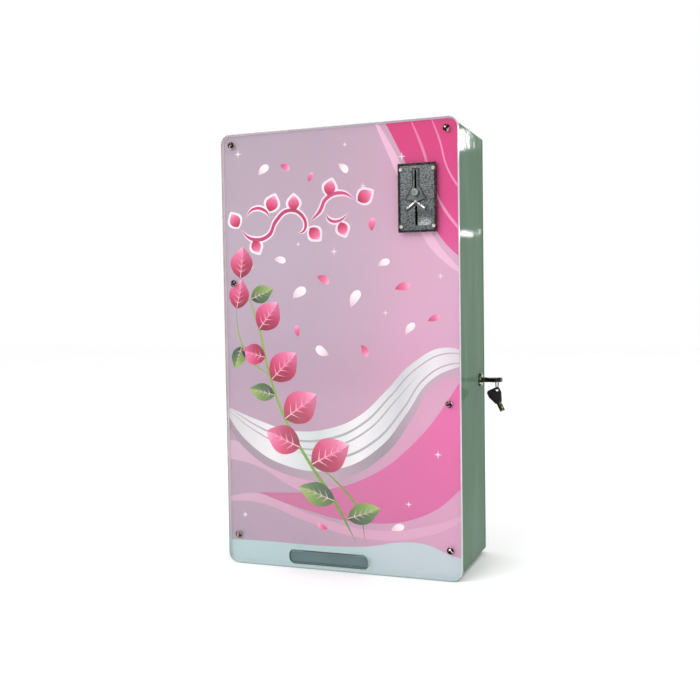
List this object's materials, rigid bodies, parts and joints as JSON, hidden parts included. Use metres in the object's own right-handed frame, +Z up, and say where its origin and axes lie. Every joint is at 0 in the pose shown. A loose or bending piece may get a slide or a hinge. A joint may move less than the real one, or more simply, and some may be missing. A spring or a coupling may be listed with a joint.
{
  "type": "sanitary napkin vending machine",
  "caption": "Wall-mounted coin vending cabinet: printed acrylic front, swing-open cover with side lock, pack magazine, motor-driven pusher and delivery slot.",
  "frame": {"origin": "centre of the four wall fixing holes, on the back face of the base plate", "axes": "+Z up, +Y into the wall, +X to the right seen from the front, front looks along -Y"},
  "size_m": [0.3851, 0.1766, 0.62],
  "materials": {
    "cover_paint": "gloss grey-green powder coat",
    "base_paint": "satin grey-green paint",
    "zinc_steel": "zinc-plated sheet",
    "print": null,
    "clear_acrylic": "clear, polished edge",
    "screw_chrome": "bright plated",
    "cast_plating": "pebbled die casting, plated",
    "button_metal": "plated, satin",
    "dark_plastic": "moulded, fine grain",
    "switch_plastic": "moulded",
    "lock_chrome": "polished plating",
    "key_metal": "nickel-plated brass",
    "key_plastic": "black moulded bow",
    "ring_steel": "split ring wire",
    "flap_grey": "plain grey paint",
    "weight_steel": "painted steel block",
    "gear_plastic": "natural acetal",
    "gear_brass": "machined",
    "shaft_steel": "ground",
    "motor_steel": "plated can",
    "box_paint": "satin dark paint",
    "board_green": "solder mask",
    "component_plastic": "moulded cases",
    "cell_sleeve": "plain printed sleeve"
  },
  "bodies": {
    "base": {"base_plate": "base_paint", "hinge_leaf_base": "zinc_steel", "hinge_pin": "zinc_steel", "lock_catch": "zinc_steel", "magazine": "zinc_steel", "magazine_strap": "zinc_steel", "magazine_shelf": "zinc_steel", "motor_bracket": "zinc_steel", "gear_motor": "motor_steel", "motor_screws": "screw_chrome", "home_switch": "switch_plastic", "delivery_chute": "zinc_steel", "coin_box_shelf": "zinc_steel", "control_board": "board_green", "board_spacers": "gear_brass", "board_screws": "screw_chrome", "board_components": "component_plastic", "battery_holder": "dark_plastic", "battery_cells": "cell_sleeve", "inner_rivets": "screw_chrome"},
    "cover": {"cover_wrap": "cover_paint", "cover_front_plate": "cover_paint", "hinge_leaf_cover": "zinc_steel", "print_sheet": "print", "acrylic_panel": "clear_acrylic", "panel_screws": "screw_chrome", "panel_nuts": "zinc_steel", "coin_face_plate": "cast_plating", "coin_plate_screws": "screw_chrome", "coin_mechanism": "dark_plastic", "coin_switch": "switch_plastic", "coin_chute": "zinc_steel", "lock_barrel": "lock_chrome", "lock_nut": "zinc_steel", "flap_ears": "zinc_steel", "flap_pin": "zinc_steel", "reject_spring": "zinc_steel"},
    "lock_key": {"lock_plug": "lock_chrome", "lock_cam": "zinc_steel", "cam_bolt": "zinc_steel", "key_tube": "key_metal", "key_bow": "key_plastic"},
    "ring": {"key_ring": "ring_steel"},
    "spare_key": {"spare_key_tube": "key_metal", "spare_key_bow": "key_plastic"},
    "button": {"reject_button": "button_metal"},
    "flap": {"delivery_flap": "flap_grey"},
    "follower": {"follower_weight": "weight_steel"},
    "pusher": {"pusher": "zinc_steel", "pusher_rack": "gear_plastic"},
    "pinion": {"drive_pinion": "gear_brass", "output_shaft": "shaft_steel"},
    "cash_box": {"coin_box": "box_paint"}
  },
  "joints": [
    {"name": "cover_swing", "type": "hinge", "parent": "base", "child": "cover", "pos_m": [-0.1699, -0.0045, 0], "axis": [0, 0, -1], "range_deg": [0, 88]},
    {"name": "key_turn", "type": "hinge", "parent": "cover", "child": "lock_key", "pos_m": [0.1705, -0.0344, -0.0482], "axis": [1, 0, 0], "range_deg": [0, 90]},
    {"name": "ring_swing", "type": "hinge", "parent": "lock_key", "child": "ring", "pos_m": [0.1988, -0.0399, -0.0482], "axis": [1, 0, 0], "range_deg": [-70, 0]},
    {"name": "spare_key_swing", "type": "hinge", "parent": "ring", "child": "spare_key", "pos_m": [0.1988, -0.04645, -0.06079], "axis": [0, 1, 0], "range_deg": [-25, 45]},
    {"name": "reject_press", "type": "slide", "parent": "cover", "child": "button", "axis": [0, 1, 0], "range_m": [0, 0.003], "stiffness_N_per_m": 400, "springref_m": -0.002, "deforming": ["reject_spring"]},
    {"name": "flap_swing", "type": "hinge", "parent": "cover", "child": "flap", "pos_m": [-0.0195, -0.159, -0.2884], "axis": [1, 0, 0], "range_deg": [0, 70]},
    {"name": "follower_slide", "type": "slide", "parent": "base", "child": "follower", "axis": [0, 0, 1], "range_m": [0, 0.385]},
    {"name": "pusher_slide", "type": "slide", "parent": "base", "child": "pusher", "axis": [0, -1, 0], "range_m": [0, 0.07]},
    {"name": "pinion_spin", "type": "hinge", "parent": "base", "child": "pinion", "pos_m": [0.0316, -0.08128, -0.2134], "axis": [1, 0, 0], "range_deg": [0, 287.5]},
    {"name": "cash_box_lift", "type": "slide", "parent": "base", "child": "cash_box", "axis": [0, 0, 1], "range_m": [0, 0.014]}
  ],
  "couplings": [
    {"joint": "pinion_spin", "follows": "pusher_slide", "rad_per_m": 71.429}
  ]
}
